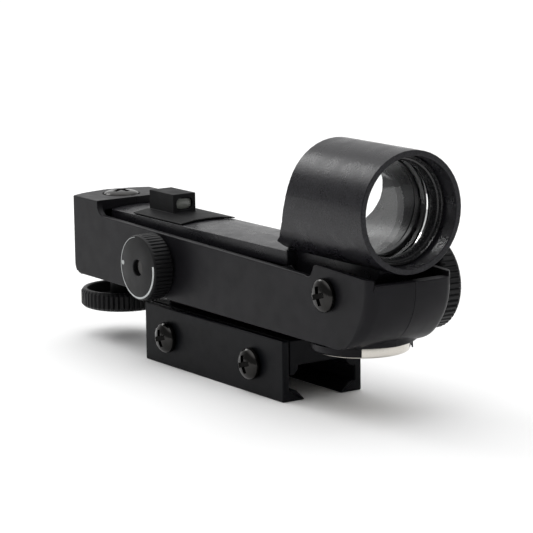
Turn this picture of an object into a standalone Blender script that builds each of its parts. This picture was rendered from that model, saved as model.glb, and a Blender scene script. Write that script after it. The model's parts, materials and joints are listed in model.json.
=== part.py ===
"""Red dot finder on a rail clamp. Sizes are in millimetres until a mesh is stored, and then in metres.

+X points along the line of sight to the lens tube, +Y to the user's left, +Z up. The origin is the
middle of the clamp's rail seat, the roof of the channel that sits on the rail.
"""

import math

import bmesh
import bpy
from mathutils import Matrix, Vector

MM = 0.001
ROUND = 48  # sides of a large turned piece
SMALL_ROUND = 24  # sides of a screw or a small bore
GAP = 0.15  # clearance between pieces that touch on the real finder

# Rail clamp
RAIL_LENGTH = 54.4
CLAMP_HALF = 10.2
JAW_INSIDE = 8.4
FOOT_Z = -7.6
BASE_TOP = 5.5
CLAW_TIP = 4.8
CLAW_Z = -5.2
LOBE_Z = -2.0
PLINTH_TOP = 6.9
CLAMP_SCREW_X = (-17.4, 15.9)
CLAMP_SCREW_Z = -1.0
MOUNT_SCREW_X = (-8.5, 8.5)

# Housing
HOUSING_HALF = 10.6
WALL_INSIDE = 9.2
SEAM = 0.05  # half of the joint line between the two halves of a shell
REAR_X = -57.7
REAR_BULGE = 3.0
REAR_EDGE = 2.2
BRIDGE_FRONT_X = -46.8
BRIDGE_TOP = 26.2
BRIDGE_BOTTOM = 24.0
WALL_TOP_REAR = 22.9
WALL_TOP_FRONT = 21.0
CHEEK_X = 38.2
CHEEK_TOP = 23.8
CHEEK_TOP_FRONT = 22.9
BOTTOM_REAR = 7.9
BOTTOM_FRONT = 7.2
NOSE_X = 59.4
NOSE_TOP = 21.9
NOSE_RADIUS = 13.0
NOSE_BOW = 1.0
NOSE_EDGE = 2.2
FLOOR = 9.9
CAVITY_FRONT = 56.6

# Sight arm and lens tube
ARM_HALF = 7.2
ARM_TOP = 24.1
ARM_CROWN = 24.6
ARM_REAR = -46.0
ARM_FRONT = 24.9
ARM_SKIRT_Z = 21.0
TAIL_LOW = 16.0
TAIL_TOP = 21.5
TAIL_REAR = -56.6
PEDESTAL_HALF = 4.6
TUBE_Z = 35.75
TUBE_RADIUS = 12.6
TUBE_BORE = 11.35
TUBE_FRONT = 58.25
TUBE_REAR = 32.5
SWEEP_RADIUS = 14.8
TUBE_HEEL = 22.5

# Lens and dot
LENS_X = 49.1
LENS_RADIUS = 10.85
LENS_CURVE = 110.0
LENS_TILT = math.radians(3.3)
SEAT_X = (45.4, 46.7)
RETAINER_X = (51.3, 54.4)
POST_X = (-36.0, -25.8)
POST_HALF = 3.0
POST_TOP = 29.4
PAD_X = (-36.4, -16.0)
DOT_Z = 27.1

# Adjusters: the azimuth screw lies along Y, the altitude screw along Z
SCREW_RADIUS = 1.9
SCREW_HOLE = 2.2
AZIMUTH_X = 43.6
AZIMUTH_Z = 18.1
ALTITUDE_X = -53.4
KNOB_RADIUS = 10.0
AZIMUTH_KNOB_Y = (12.4, 17.0)
ALTITUDE_KNOB_Z = (-0.6, 3.9)
HUB_RADIUS = 3.1

# Brightness control
DIAL_X = -20.4
DIAL_Z = 14.95
DIAL_RADIUS = 7.4
DIAL_FACE_Y = -16.2
DIAL_BACK_Y = -11.2

# Battery
CELL_X = 41.3
CELL_RADIUS = 10.0
CELL_Z = (5.2, 8.4)
CELL_ROOM = 10.25
BOSS_RADIUS = 11.3

SHELL_SCREWS = {"rear": (-40.5, 13.6), "middle": (2.5, 13.6), "nose": (52.4, 13.4)}
POST_RADIUS = 2.4

MATERIALS = {
    "shell_black": ((0.030, 0.030, 0.033), 0.62, 0.0),
    "arm_black": ((0.022, 0.022, 0.024), 0.50, 0.0),
    "clamp_black": ((0.020, 0.021, 0.026), 0.42, 0.6),
    "screw_black": ((0.012, 0.012, 0.013), 0.18, 0.8),
    "knob_black": ((0.018, 0.018, 0.019), 0.55, 0.0),
    "steel": ((0.56, 0.56, 0.55), 0.28, 1.0),
    "cell_steel": ((0.66, 0.62, 0.55), 0.25, 1.0),
    "brass": ((0.70, 0.52, 0.26), 0.30, 1.0),
    "lens_glass": ((0.86, 0.92, 0.92), 0.02, 0.0),
    "led_red": ((0.60, 0.03, 0.02), 0.15, 0.0),
    "red_wire": ((0.45, 0.02, 0.02), 0.45, 0.0),
    "black_wire": ((0.015, 0.015, 0.015), 0.45, 0.0),
}

# Each body's pivot: the pieces of a body have their origins there.
PIVOTS = {
    "housing": (0.0, 0.0, 0.0),
    "clamp_jaw": (0.0, -CLAMP_HALF, CLAMP_SCREW_Z),
    "clamp_screw_rear": (CLAMP_SCREW_X[0], -CLAMP_HALF, CLAMP_SCREW_Z),
    "clamp_screw_front": (CLAMP_SCREW_X[1], -CLAMP_HALF, CLAMP_SCREW_Z),
    "azimuth_adjuster": (AZIMUTH_X, 0.0, AZIMUTH_Z),
    "altitude_adjuster": (ALTITUDE_X, 0.0, BRIDGE_TOP),
    "pivot_nut": (ALTITUDE_X, 0.0, AZIMUTH_Z),
    "sight_arm": (AZIMUTH_X, 0.0, AZIMUTH_Z),
    "brightness_dial": (DIAL_X, DIAL_FACE_Y, DIAL_Z),
    "coin_cell": (CELL_X, 0.0, CELL_Z[0]),
}
PARENTS = {
    "clamp_screw_rear": "clamp_jaw",
    "clamp_screw_front": "clamp_jaw",
    "sight_arm": "pivot_nut",
}

bodies = {}


# ---- shapes ---------------------------------------------------------------------------------


def arc(centre, radius, start, end, steps):
    """Points on an arc in a plane, from one angle in degrees to another."""
    points = []
    for step in range(steps + 1):
        angle = math.radians(start + (end - start) * step / steps)
        points.append((centre[0] + radius * math.cos(angle), centre[1] + radius * math.sin(angle)))
    return points


def place(axis, u, v, along):
    """A point from its two coordinates in the plane across an axis and its distance along the axis."""
    if axis == "X":
        return Vector((along, u, v))
    if axis == "Y":
        return Vector((u, along, v))
    return Vector((u, v, along))


def prism(outline, axis, low, high):
    """A straight extrusion of an outline. Across X it is (y, z), across Y (x, z), across Z (x, y)."""
    bm = bmesh.new()
    face = bm.faces.new([bm.verts.new(place(axis, u, v, low)) for u, v in outline])
    grown = bmesh.ops.extrude_face_region(bm, geom=[face])["geom"]
    moved = [item for item in grown if isinstance(item, bmesh.types.BMVert)]
    bmesh.ops.translate(bm, verts=moved, vec=place(axis, 0.0, 0.0, high - low))
    bmesh.ops.recalc_face_normals(bm, faces=bm.faces)
    return bm


def box(low, high):
    outline = [(low[0], low[1]), (high[0], low[1]), (high[0], high[1]), (low[0], high[1])]
    return prism(outline, "Z", low[2], high[2])


def turned(profile, axis, centre, sides=SMALL_ROUND):
    """A closed profile of (radius, distance along the axis) spun about an axis through the centre."""
    bm = bmesh.new()
    middle = place(axis, centre[0], centre[1], 0.0)
    verts = [bm.verts.new(middle + place(axis, radius, 0.0, along)) for radius, along in profile]
    edges = []
    for index, vert in enumerate(verts):
        following = (index + 1) % len(verts)
        on_axis = profile[index][0] == 0.0 and profile[following][0] == 0.0
        if not on_axis:
            edges.append(bm.edges.new((vert, verts[following])))
    bmesh.ops.spin(
        bm,
        geom=verts + edges,
        cent=middle,
        axis=place(axis, 0.0, 0.0, 1.0),
        angle=2.0 * math.pi,
        steps=sides,
        use_merge=True,
    )
    bmesh.ops.remove_doubles(bm, verts=bm.verts, dist=1e-4)
    bmesh.ops.recalc_face_normals(bm, faces=bm.faces)
    return bm


def rod(radius, axis, centre, low, high, sides=SMALL_ROUND):
    return prism(arc(centre, radius, 0.0, 360.0 - 360.0 / sides, sides - 1), axis, low, high)


def ring(inner, outer, axis, centre, low, high, sides=SMALL_ROUND):
    profile = [(inner, low), (outer, low), (outer, high), (inner, high)]
    return turned(profile, axis, centre, sides)


def stepped_hole(axis, centre, radii, ends, sides=SMALL_ROUND):
    """A cutter of two radii: from the first end to the second, and on to the third."""
    first, second = radii
    low, middle, high = ends
    profile = [(0.0, low), (first, low), (first, middle), (second, middle), (second, high), (0.0, high)]
    return turned(profile, axis, centre, sides)


def tilted(bm, angle, pivot):
    """The shape turned about an axis through the pivot that lies along Y."""
    turn = Matrix.Rotation(angle, 3, "Y")
    bmesh.ops.rotate(bm, verts=bm.verts, cent=Vector(pivot), matrix=turn)
    return bm


# ---- objects --------------------------------------------------------------------------------


def make_materials():
    for name, (colour, roughness, metallic) in MATERIALS.items():
        material = bpy.data.materials.new(name)
        material.use_nodes = True
        shader = material.node_tree.nodes["Principled BSDF"]
        shader.inputs["Base Color"].default_value = (*colour, 1.0)
        shader.inputs["Roughness"].default_value = roughness
        shader.inputs["Metallic"].default_value = metallic
        if name == "lens_glass":
            shader.inputs["Transmission Weight"].default_value = 1.0


def make_bodies():
    for name, pivot in PIVOTS.items():
        empty = bpy.data.objects.new(name + "_axis", None)
        bpy.context.scene.collection.objects.link(empty)
        parent = bodies.get(PARENTS.get(name, "housing"))
        start = Vector((0.0, 0.0, 0.0))
        if parent:
            empty.parent = parent
            start = Vector(PIVOTS[PARENTS.get(name, "housing")])
        empty.location = (Vector(pivot) - start) * MM
        bodies[name] = empty


def store(name, bm, origin):
    """A mesh object in metres, measured from an origin in millimetres."""
    bmesh.ops.translate(bm, verts=bm.verts, vec=-Vector(origin))
    bmesh.ops.scale(bm, verts=bm.verts, vec=Vector((MM, MM, MM)))
    mesh = bpy.data.meshes.new(name)
    bm.to_mesh(mesh)
    bm.free()
    mesh.shade_smooth()
    mesh.set_sharp_from_angle(angle=math.radians(35.0))
    obj = bpy.data.objects.new(name, mesh)
    bpy.context.scene.collection.objects.link(obj)
    return obj


def piece(name, bm, material, body="housing"):
    """A sub-part of the finder, on its body's axis."""
    obj = store(name, bm, PIVOTS[body])
    obj.parent = bodies[body]
    obj.data.materials.append(bpy.data.materials[material])
    return obj


def helper(name, bm):
    """A shape that only cuts or adds to others."""
    obj = store(name, bm, (0.0, 0.0, 0.0))
    obj.hide_render = True
    obj.display_type = "WIRE"
    return obj


def combine(obj, operation, other):
    modifier = obj.modifiers.new(operation.lower() + " " + other.name, "BOOLEAN")
    modifier.operation = operation
    modifier.object = other


def cut(obj, *others):
    for other in others:
        combine(obj, "DIFFERENCE", other)


def add(obj, *others):
    for other in others:
        combine(obj, "UNION", other)


def keep(obj, other):
    combine(obj, "INTERSECT", other)


# ---- rail clamp -----------------------------------------------------------------------------


def claw(side):
    """The inward hook at the foot of a jaw, from its inner wall to its foot, as (y, z)."""
    return [
        (side * (JAW_INSIDE + GAP), CLAW_Z),
        (side * (CLAW_TIP + 1.9), CLAW_Z - 0.1),
        (side * CLAW_TIP, FOOT_Z + 0.35),
        (side * (CLAW_TIP + 0.2), FOOT_Z),
        (side * CLAMP_HALF, FOOT_Z),
    ]


def make_rail_base():
    half = RAIL_LENGTH / 2.0
    right = -(JAW_INSIDE - GAP)
    section = [(right, BASE_TOP), (right, LOBE_Z), (-7.3, LOBE_Z), (-6.2, -0.9), (-6.2, 0.0)]
    section += [(6.2, 0.0), (6.2, -0.9), (7.3, LOBE_Z), (JAW_INSIDE + GAP, LOBE_Z)]
    section += claw(1.0)
    section.append((CLAMP_HALF, BASE_TOP))
    base = piece("rail_base", prism(section, "X", -half, half), "clamp_black")
    add(base, helper("base_plinth", box((-24.0, -5.6, BASE_TOP - 1.0), (24.0, 5.6, PLINTH_TOP))))
    for index, x in enumerate(CLAMP_SCREW_X):
        hole = rod(SCREW_RADIUS + 0.1, "Y", (x, CLAMP_SCREW_Z), -9.0, 11.0)
        cut(base, helper(f"cross_hole_{index}", hole))
    for index, x in enumerate(MOUNT_SCREW_X):
        profile = [(0.0, -1.0), (3.3, -1.0), (3.3, 2.3), (1.8, 3.4), (1.8, 8.0), (0.0, 8.0)]
        cut(base, helper(f"mount_hole_{index}", turned(profile, "Z", (x, 0.0))))


def make_clamp_jaw():
    half = RAIL_LENGTH / 2.0
    section = claw(-1.0) + [(-CLAMP_HALF, BASE_TOP), (-JAW_INSIDE - GAP, BASE_TOP)]
    jaw = piece("clamp_jaw", prism(section, "X", -half, half), "clamp_black", "clamp_jaw")
    for index, x in enumerate(CLAMP_SCREW_X):
        hole = rod(SCREW_HOLE, "Y", (x, CLAMP_SCREW_Z), -12.0, -7.0)
        cut(jaw, helper(f"jaw_hole_{index}", hole))


def cross_recess(name, axis, centre, face, depth, width=1.1, span=3.6):
    """A cross-shaped cutter for a screw head. Depth is signed: it goes from the face into the head."""
    low, high = sorted((face - depth * 0.2, face + depth))
    half_span, half_width = span / 2.0, width / 2.0
    u, v = centre
    outline = []
    for turn in range(4):
        angle = turn * math.pi / 2.0
        for a, b in ((half_width, half_width), (half_span, half_width), (half_span, -half_width)):
            x = a * math.cos(angle) + b * math.sin(angle)
            y = a * math.sin(angle) - b * math.cos(angle)
            outline.append((u + x, v + y))
    ordered = sorted(outline, key=lambda p: math.atan2(p[1] - v, p[0] - u))
    return helper(name, prism(ordered, axis, low, high))


def pan_head(radius, height):
    """Half of a pan head's outline: (radius, distance from the seat), from the rim to the crown."""
    return [
        (radius, 0.0),
        (radius, height * 0.35),
        (radius * 0.93, height * 0.68),
        (radius * 0.74, height * 0.90),
        (radius * 0.45, height),
        (0.0, height),
    ]


def screw(name, axis, centre, seat, tip, outward, head, shank, material, body):
    """A cross-head screw: its head stands on the seat and its shank runs to the tip."""
    radius, height = head
    profile = [(0.0, tip), (shank, tip), (shank, seat)]
    profile += [(r, seat + outward * h) for r, h in pan_head(radius, height)]
    obj = piece(name, turned(profile, axis, centre), material, body)
    face = seat + outward * height
    recess = cross_recess(name + "_cross", axis, centre, face, -outward * height * 0.75)
    cut(obj, recess)
    return obj


def make_clamp_screws():
    for place_name, x in zip(("rear", "front"), CLAMP_SCREW_X):
        name = "clamp_screw_" + place_name
        centre = (x, CLAMP_SCREW_Z)
        seat = -CLAMP_HALF - 0.1
        screw(name, "Y", centre, seat, 10.0, -1.0, (3.45, 2.5), SCREW_RADIUS - 0.15, "screw_black", name)


def make_mount_screws():
    for place_name, x in zip(("rear", "front"), MOUNT_SCREW_X):
        name = "mount_screw_" + place_name
        profile = [(0.0, 13.2), (1.45, 13.2), (1.45, 3.6), (3.0, 2.1), (3.0, 0.8), (0.0, 0.8)]
        piece(name, turned(profile, "Z", (x, 0.0)), "screw_black")
        nut = box((x - 2.75, -2.75, FLOOR + 0.3), (x + 2.75, 2.75, FLOOR + 2.5))
        nut_piece = piece("mount_nut_" + place_name, nut, "steel")
        cut(nut_piece, helper(name + "_thread", rod(1.65, "Z", (x, 0.0), 8.0, 15.0)))


# ---- housing --------------------------------------------------------------------------------


def top_outline():
    """The housing's top line seen from its side, as (x, z). It is closed well below and before the housing."""
    outline = [(REAR_X - 6.0, 0.0), (NOSE_X + 8.0, 0.0), (NOSE_X + 8.0, CHEEK_TOP_FRONT - 0.4)]
    outline.append((CHEEK_X + 1.6, CHEEK_TOP))
    outline += [(CHEEK_X + 0.7, CHEEK_TOP - 0.4), (CHEEK_X + 0.3, CHEEK_TOP - 1.4)]
    outline += [(CHEEK_X - 0.3, WALL_TOP_FRONT + 0.3), (CHEEK_X - 1.4, WALL_TOP_FRONT - 0.1)]
    outline.append((CHEEK_X - 2.6, WALL_TOP_FRONT + 0.2))
    fillet = 2.9
    outline += arc((BRIDGE_FRONT_X + fillet, WALL_TOP_REAR + fillet), fillet, -90.0, -180.0, 4)
    outline += [(BRIDGE_FRONT_X, BRIDGE_TOP), (REAR_X - 6.0, BRIDGE_TOP)]
    return outline


def across_nose():
    """Half of the nose seen from above, as (y, distance behind its foremost point): a bow, then a round edge."""
    flat = HOUSING_HALF - NOSE_EDGE
    outline = [(y, NOSE_BOW * (y / HOUSING_HALF) ** 2) for y in (0.0, flat * 0.4, flat * 0.75)]
    for y, behind in arc((0.0, 0.0), NOSE_EDGE, 90.0, 0.0, 5):
        across = flat + y
        bow = NOSE_BOW * (across / HOUSING_HALF) ** 2
        outline.append((across, bow + NOSE_EDGE - behind))
    return outline


def hull_form():
    """The housing's sides, underside and nose. The edges are sharp along the underside, and the chin rounds them
    more and more on its way up to the nose."""
    half = across_nose()
    across = [(-y, behind) for y, behind in half[:0:-1]] + half
    chin = (NOSE_X - NOSE_RADIUS, BOTTOM_FRONT + NOSE_RADIUS)
    slope = (BOTTOM_FRONT - BOTTOM_REAR) / (chin[0] - REAR_X)
    low = BOTTOM_REAR + slope * 1.6
    stations = [(REAR_X - 5.0, low, 0.0, -1.0, 0.0), (REAR_X + 1.6, low, 0.0, -1.0, 0.0)]
    steps = 12
    for step, (x, z) in enumerate(arc(chin, NOSE_RADIUS, -90.0, 0.0, steps)):
        share = min(1.0, 1.5 * step / steps)
        share = share * share * (3.0 - 2.0 * share)
        stations.append((x, z, (x - chin[0]) / NOSE_RADIUS, (z - chin[1]) / NOSE_RADIUS, share))
    stations += [(NOSE_X, 40.0, 1.0, 0.0, 1.0), (REAR_X - 5.0, 40.0, 0.0, 0.0, 0.0)]
    bm = bmesh.new()
    rows = []
    for x, z, out_x, out_z, share in stations:
        rows.append([bm.verts.new((x - out_x * b * share, y, z - out_z * b * share)) for y, b in across])
    for row, following in zip(rows, rows[1:] + rows[:1]):
        for index in range(len(across) - 1):
            bm.faces.new((row[index], row[index + 1], following[index + 1], following[index]))
    bm.faces.new([row[0] for row in rows])
    bm.faces.new([row[-1] for row in rows])
    bmesh.ops.recalc_face_normals(bm, faces=bm.faces)
    bmesh.ops.triangulate(bm, faces=bm.faces)
    return bm


def plan_outline(side, inset):
    """One side of the seam seen from above, as (x, y), with the housing's bowed rear drawn in by the inset."""
    rear_radius = (HOUSING_HALF**2 + REAR_BULGE**2) / (2.0 * REAR_BULGE)
    rear_centre = REAR_X - REAR_BULGE + rear_radius
    edge = math.degrees(math.asin((HOUSING_HALF + 2.0) / rear_radius))
    outline = [(NOSE_X + 8.0, SEAM), (NOSE_X + 8.0, HOUSING_HALF + 2.0)]
    outline += arc((rear_centre, 0.0), rear_radius - inset, 180.0 - edge, 180.0, 7)
    return [(x, side * max(y, SEAM)) for x, y in outline]


def rounded_blank(side):
    """Everything on one side of the seam, up to the bowed rear, whose lower edge is round."""
    levels = [(1.0, REAR_EDGE)]
    for inset, down in arc((REAR_EDGE, REAR_EDGE), REAR_EDGE, -90.0, -180.0, 4):
        levels.append((BOTTOM_REAR + down, inset))
    levels.append((39.0, 0.0))
    bm = bmesh.new()
    rows = [[bm.verts.new((x, y, z)) for x, y in plan_outline(side, inset)] for z, inset in levels]
    for row, following in zip(rows, rows[1:]):
        for index in range(len(row)):
            after = (index + 1) % len(row)
            bm.faces.new((row[index], row[after], following[after], following[index]))
    bm.faces.new(rows[0])
    bm.faces.new(rows[-1])
    bmesh.ops.recalc_face_normals(bm, faces=bm.faces)
    bmesh.ops.triangulate(bm, faces=bm.faces)
    return bm


def cavity_outline():
    """The room inside the housing for the arm and the electrics, as (x, z)."""
    return [
        (-44.6, FLOOR),
        (49.0, FLOOR),
        (CAVITY_FRONT - 1.6, 15.0),
        (CAVITY_FRONT, NOSE_TOP - 1.2),
        (CAVITY_FRONT, 30.0),
        (-44.6, 30.0),
    ]


def housing_cutters():
    """Everything taken out of both housing halves."""
    inside = WALL_INSIDE
    low = BOTTOM_REAR - 4.0
    slot = [(-34.0, 30.0), (-34.0, NOSE_TOP), (65.0, NOSE_TOP), (65.0, 30.0)]
    shapes = {
        "cavity": prism(cavity_outline(), "Y", -inside, inside),
        "top_slot": prism(slot, "Y", -inside, inside),
        "front_well": box((BRIDGE_FRONT_X, -inside, FLOOR + 9.0), (-30.0, inside, 30.0)),
        "tail_pocket": box((-57.2, -8.4, FLOOR), (-43.0, 8.4, BRIDGE_BOTTOM)),
        "altitude_hole": stepped_hole("Z", (ALTITUDE_X, 0.0), (SCREW_HOLE, 4.4), (low, BRIDGE_TOP - 0.8, 30.0)),
        "azimuth_hole": rod(SCREW_HOLE, "Y", (AZIMUTH_X, AZIMUTH_Z), -14.0, 14.0),
        "cell_room": stepped_hole("Z", (CELL_X, 0.0), (CELL_ROOM, 2.6), (low, CELL_Z[1] + 0.15, 11.0), ROUND),
        "contact_slot": box((29.7, -2.5, low), (31.4, 2.5, 11.0)),
    }
    for index, x in enumerate(MOUNT_SCREW_X):
        shapes[f"floor_hole_{index}"] = rod(1.8, "Z", (x, 0.0), low, 11.0)
    return [helper("housing_" + name, bm) for name, bm in shapes.items()]


def cell_boss(side):
    """One side of the boss round the coin cell, kept inside the housing's side wall, as (x, y)."""
    outline = arc((CELL_X, 0.0), BOSS_RADIUS, 0.0, 180.0, 24)
    return [(x, side * min(max(y, SEAM), HOUSING_HALF - 0.4)) for x, y in outline]


def cell_lip(name, start, end):
    """A stretch of the lip that holds the coin cell, between two angles about the cell's axis."""
    centre = (CELL_X, 0.0)
    steps = max(1, round(abs(end - start) / 7.5))
    outline = arc(centre, CELL_ROOM + 0.3, start, end, steps) + arc(centre, CELL_ROOM + 0.04, end, start, steps)
    return helper(name, prism(outline, "Z", CELL_Z[0] + 0.4, BOTTOM_FRONT + 0.6))


def make_housing_half(name, side, lips):
    half = piece(name, rounded_blank(side), "shell_black")
    keep(half, side_form)
    keep(half, outer_form)
    add(half, helper(name + "_boss", prism(cell_boss(side), "Z", CELL_Z[0] + 2.25, FLOOR + 1.0)))
    cut(half, *cutters)
    for index, (start, end) in enumerate(lips):
        add(half, cell_lip(f"{name}_lip_{index}", start, end))
    for place_name, (x, z) in SHELL_SCREWS.items():
        post = rod(POST_RADIUS, "Y", (x, z), side * (SEAM + 0.05), side * (WALL_INSIDE + 0.5))
        hole = stepped_hole("Y", (x, z), (1.25, 2.5), (-6.0, 9.6, 12.0))
        add(half, helper(f"{name}_{place_name}_post", post))
        cut(half, helper(f"{name}_{place_name}_hole", hole))
    return half


def make_housing():
    right = make_housing_half("housing_right", -1.0, [(-166.0, -37.0)])
    make_housing_half("housing_left", 1.0, [(50.0, 166.0)])
    cut(right, helper("dial_hole", rod(2.0, "Y", (DIAL_X, DIAL_Z), -14.0, -8.0)))
    for place_name, (x, z) in SHELL_SCREWS.items():
        profile = [(0.0, -5.5), (1.05, -5.5), (1.05, 9.75), (2.2, 9.75), (2.2, 10.4), (0.0, 10.4)]
        piece("shell_screw_" + place_name, turned(profile, "Y", (x, z), 16), "screw_black")


# ---- electrics ------------------------------------------------------------------------------


def wire(name, route, radius, material, body="housing"):
    """A round wire through a few points, smoothed, with its ends filled."""
    curve = bpy.data.curves.new(name, "CURVE")
    curve.dimensions = "3D"
    curve.bevel_depth = radius * MM
    curve.bevel_resolution = 2
    curve.use_fill_caps = True
    points = smooth_route([Vector(point) for point in route], 4)
    spline = curve.splines.new("POLY")
    spline.points.add(len(points) - 1)
    for point, where in zip(spline.points, points):
        point.co = (*((where - Vector(PIVOTS[body])) * MM), 1.0)
    obj = bpy.data.objects.new(name, curve)
    bpy.context.scene.collection.objects.link(obj)
    obj.parent = bodies[body]
    curve.materials.append(bpy.data.materials[material])
    return obj


def smooth_route(knots, steps):
    """Points on a smooth curve that passes through every knot."""
    padded = [2 * knots[0] - knots[1]] + knots + [2 * knots[-1] - knots[-2]]
    points = []
    for index in range(1, len(padded) - 2):
        a, b, c, d = padded[index - 1 : index + 3]
        for step in range(steps):
            t = step / steps
            points.append(
                0.5 * (2 * b + (c - a) * t + (2 * a - 5 * b + 4 * c - d) * t**2 + (3 * b - a - 3 * c + d) * t**3)
            )
    return points + [knots[-1]]


def make_electrics():
    contact = [(0.0, FLOOR + 0.9), (4.2, FLOOR + 0.9), (4.2, FLOOR + 0.4), (2.2, FLOOR + 0.4)]
    contact += [(2.2, CELL_Z[1] + 0.5), (1.4, CELL_Z[1] + 0.25), (0.0, CELL_Z[1] + 0.25)]
    piece("negative_contact", turned(contact, "Z", (CELL_X, 0.0)), "brass")
    strip = [(30.2, 6.6), (30.6, 6.6), (30.6, FLOOR + 0.3), (33.6, FLOOR + 0.3), (33.6, FLOOR + 0.8)]
    strip += [(30.2, FLOOR + 0.8)]
    piece("positive_contact", prism(strip, "Y", -2.0, 2.0), "brass")
    back = -WALL_INSIDE + 0.2
    profile = [(0.0, -4.6), (4.1, -4.6), (4.1, back), (1.7, back), (1.7, -6.2), (0.0, -6.2)]
    piece("potentiometer", turned(profile, "Y", (DIAL_X, DIAL_Z)), "steel")
    red = [(33.0, 2.7, 10.5), (29.0, 3.6, 10.6), (14.0, 4.4, 10.5), (-4.0, 4.2, 10.5)]
    red += [(-12.6, 3.8, 10.9), (-16.0, 0.4, 12.4), (-18.0, -3.7, 14.2)]
    wire("battery_wire_red", red, 0.4, "red_wire")
    black = [(36.6, -1.4, 10.6), (31.0, -3.6, 10.6), (14.0, -4.8, 10.5), (-4.0, -4.8, 10.5)]
    black += [(-13.0, -3.4, 11.2), (-18.0, -3.9, 12.6)]
    wire("battery_wire_black", black, 0.4, "black_wire")
    piece("coin_cell", turned(cell_profile(), "Z", (CELL_X, 0.0), ROUND), "cell_steel", "coin_cell")


def cell_profile():
    """A coin cell: a deep can with a rounded foot, and the smaller negative cap set into its top."""
    low, high = CELL_Z
    return [
        (0.0, low),
        (CELL_RADIUS - 0.4, low),
        (CELL_RADIUS, low + 0.4),
        (CELL_RADIUS, high - 0.5),
        (CELL_RADIUS - 0.5, high - 0.2),
        (CELL_RADIUS - 1.2, high - 0.2),
        (CELL_RADIUS - 1.4, high),
        (0.0, high),
    ]


def make_brightness_dial():
    back, face = DIAL_BACK_Y, DIAL_FACE_Y
    profile = [
        (1.65, back),
        (DIAL_RADIUS - 0.3, back),
        (DIAL_RADIUS, back - 0.3),
        (DIAL_RADIUS, face + 0.7),
        (DIAL_RADIUS - 0.55, face),
        (1.85, face),
        (1.85, face + 1.6),
        (0.8, face + 1.6),
        (0.8, face + 2.2),
        (1.65, face + 2.2),
    ]
    centre = (DIAL_X, DIAL_Z)
    piece("brightness_knob", turned(profile, "Y", centre, ROUND), "knob_black", "brightness_dial")
    shaft = [(0.0, -6.5), (1.5, -6.5), (1.5, face + 2.35), (0.85, face + 2.35), (0.85, -10.0), (0.0, -10.0)]
    piece("dial_shaft", turned(shaft, "Y", centre), "steel", "brightness_dial")
    stem = [(0.0, -11.2), (0.65, -11.2), (0.65, face + 1.45), (1.5, face + 1.45), (1.5, face + 0.75)]
    stem.append((0.0, face + 0.75))
    piece("dial_screw", turned(stem, "Y", centre, 16), "screw_black", "brightness_dial")


# ---- adjusters ------------------------------------------------------------------------------


def cup_knob(rim, face, hub_end, bore_end):
    """A cup-shaped knob: its open side faces the housing, with a hub for the screw in the middle."""
    out = 1.0 if face > rim else -1.0
    floor = face - out * 1.4
    return [
        (0.0, face),
        (KNOB_RADIUS - 0.5, face),
        (KNOB_RADIUS, face - out * 0.5),
        (KNOB_RADIUS, rim + out * 0.3),
        (KNOB_RADIUS - 0.3, rim),
        (KNOB_RADIUS - 1.4, rim),
        (KNOB_RADIUS - 1.6, floor),
        (HUB_RADIUS, floor),
        (HUB_RADIUS, hub_end),
        (SCREW_RADIUS + 0.1, hub_end),
        (SCREW_RADIUS + 0.1, bore_end),
        (0.0, bore_end),
    ]


def make_azimuth():
    centre = (AZIMUTH_X, AZIMUTH_Z)
    body = "azimuth_adjuster"
    rim, face = AZIMUTH_KNOB_Y
    profile = cup_knob(rim, face, HOUSING_HALF + 0.95, face - 0.8)
    piece("azimuth_knob", turned(profile, "Y", centre, ROUND), "knob_black", body)
    seat = -HOUSING_HALF - GAP
    screw("azimuth_screw", "Y", centre, seat, face - 1.0, -1.0, (3.55, 2.2), SCREW_RADIUS, "screw_black", body)
    washer = ring(SCREW_RADIUS + 0.2, 3.6, "Y", centre, HOUSING_HALF + 0.15, HOUSING_HALF + 0.8)
    piece("azimuth_washer", washer, "steel", body)
    nut = ring(SCREW_HOLE, 3.5, "Y", centre, -PEDESTAL_HALF + 0.3, PEDESTAL_HALF - 0.3)
    piece("pivot_nut", nut, "brass", "pivot_nut")
    spring("azimuth_spring", "Y", centre, -WALL_INSIDE + 0.5, -PEDESTAL_HALF - 0.5, 2.9, 3)


def make_altitude():
    centre = (ALTITUDE_X, 0.0)
    body = "altitude_adjuster"
    face, rim = ALTITUDE_KNOB_Z
    profile = cup_knob(rim, face, 6.9, face + 0.9)
    piece("altitude_knob", turned(profile, "Z", centre, ROUND), "knob_black", body)
    seat = BRIDGE_TOP - 0.65
    screw("altitude_screw", "Z", centre, seat, face + 1.1, 1.0, (4.1, 1.5), SCREW_RADIUS, "screw_black", body)
    washer = ring(SCREW_RADIUS + 0.2, 3.6, "Z", centre, 7.05, 7.6)
    piece("altitude_washer", washer, "steel", body)
    spring("altitude_spring", "Z", centre, FLOOR + 0.5, TAIL_LOW - 0.5, 2.9, 4)
    nut = prism(arc(centre, 3.6, 0.0, 300.0, 5), "Z", TAIL_LOW + 0.1, TAIL_LOW + 2.4)
    nut_piece = piece("altitude_nut", nut, "brass", "sight_arm")
    cut(nut_piece, helper("altitude_thread", rod(SCREW_HOLE, "Z", centre, 10.0, 25.0)))


def spring(name, axis, centre, low, high, radius, turns):
    """A round-wire compression spring between two heights along an axis."""
    per_turn = 12
    count = turns * per_turn
    curve = bpy.data.curves.new(name, "CURVE")
    curve.dimensions = "3D"
    curve.bevel_depth = 0.3 * MM
    curve.bevel_resolution = 0
    curve.use_fill_caps = True
    spline = curve.splines.new("POLY")
    spline.points.add(count)
    for index, point in enumerate(spline.points):
        angle = 2.0 * math.pi * index / per_turn
        along = low + (high - low) * index / count
        where = place(axis, centre[0] + radius * math.cos(angle), centre[1] + radius * math.sin(angle), along)
        point.co = (*(where * MM), 1.0)
    obj = bpy.data.objects.new(name, curve)
    bpy.context.scene.collection.objects.link(obj)
    obj.parent = bodies["housing"]
    curve.materials.append(bpy.data.materials["steel"])


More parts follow.
